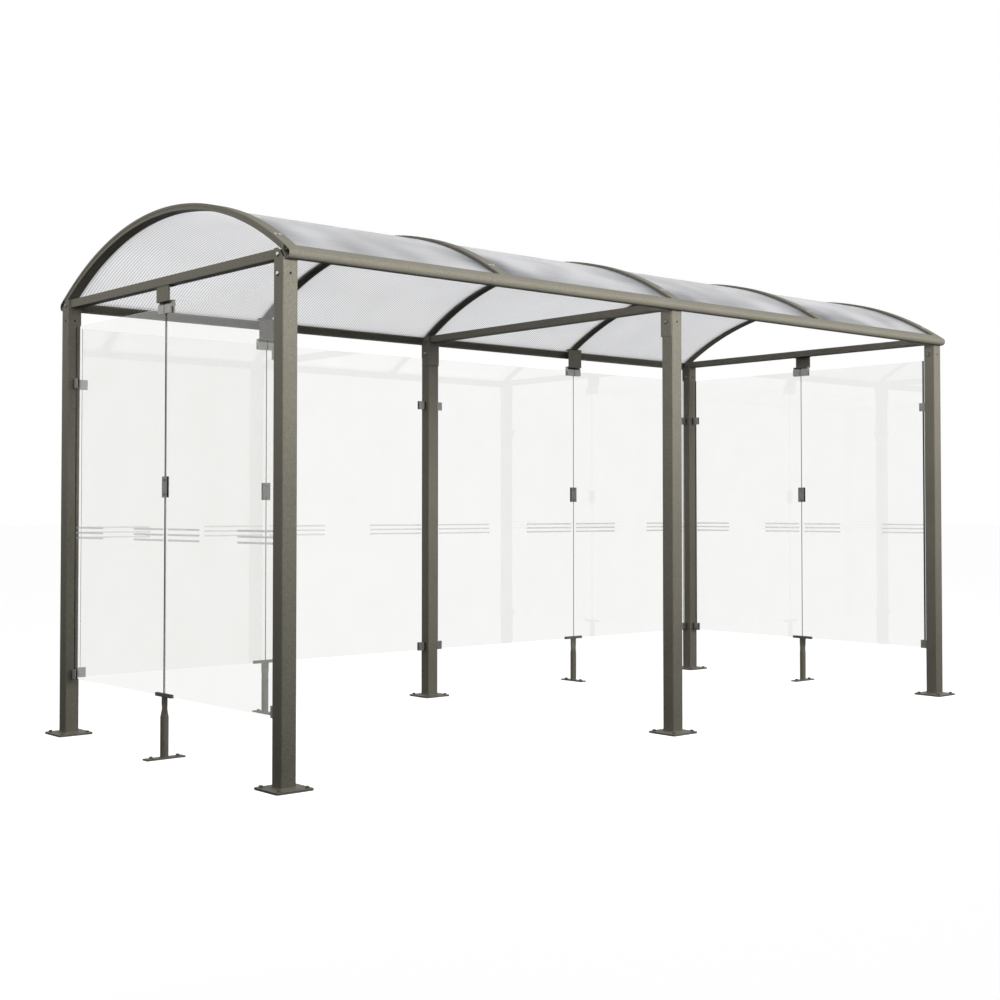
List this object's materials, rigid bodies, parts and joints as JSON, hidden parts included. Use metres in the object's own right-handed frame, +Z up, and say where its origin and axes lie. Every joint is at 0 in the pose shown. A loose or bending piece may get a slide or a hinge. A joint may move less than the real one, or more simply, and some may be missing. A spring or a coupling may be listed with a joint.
{
  "type": "bike shelter",
  "caption": "Open-front bike shelter: steel posts on base plates, curved multiwall roof on arches, glass back and end walls held by clamps.",
  "frame": {"origin": "on the ground, midway between the end posts and midway between the front and back rows", "axes": "+X along the shelter, +Y from the open front to the glass back wall, +Z up"},
  "size_m": [5.455, 2.4275, 2.8008],
  "materials": {
    "frame": "fine textured powder coat, bronze grey",
    "roof_sheet": "opal multiwall polycarbonate",
    "glass": "clear toughened glass with frosted stripes",
    "fittings": "brushed stainless steel"
  },
  "bodies": {
    "root": {"post_front_left": "frame", "post_front_middle": "frame", "post_front_right": "frame", "post_back_left": "frame", "post_back_middle": "frame", "post_back_right": "frame", "tie_beam_left": "frame", "tie_beam_middle": "frame", "tie_beam_right": "frame", "eave_front": "frame", "eave_back": "frame", "arch_left_end": "frame", "arch_left_bay": "frame", "arch_middle": "frame", "arch_right_bay": "frame", "arch_right_end": "frame", "foot_left_end": "frame", "foot_back_left": "frame", "foot_back_right": "frame", "foot_right_end": "frame", "hanger_left_end": "frame", "hanger_back_left": "frame", "hanger_back_right": "frame", "hanger_right_end": "frame", "roof_sheet_left_outer": "roof_sheet", "roof_sheet_left_inner": "roof_sheet", "roof_sheet_right_inner": "roof_sheet", "roof_sheet_right_outer": "roof_sheet", "glass_left_end_front": "glass", "glass_left_end_back": "glass", "glass_right_end_front": "glass", "glass_right_end_back": "glass", "glass_back_1": "glass", "glass_back_2": "glass", "glass_back_3": "glass", "glass_back_4": "glass", "head_clamps_left_end": "fittings", "head_clamps_back_left": "fittings", "head_clamps_back_right": "fittings", "head_clamps_right_end": "fittings", "post_clamps_left_end": "fittings", "post_clamps_back_left": "fittings", "post_clamps_back_right": "fittings", "post_clamps_right_end": "fittings", "joint_clips": "fittings"}
  },
  "joints": []
}
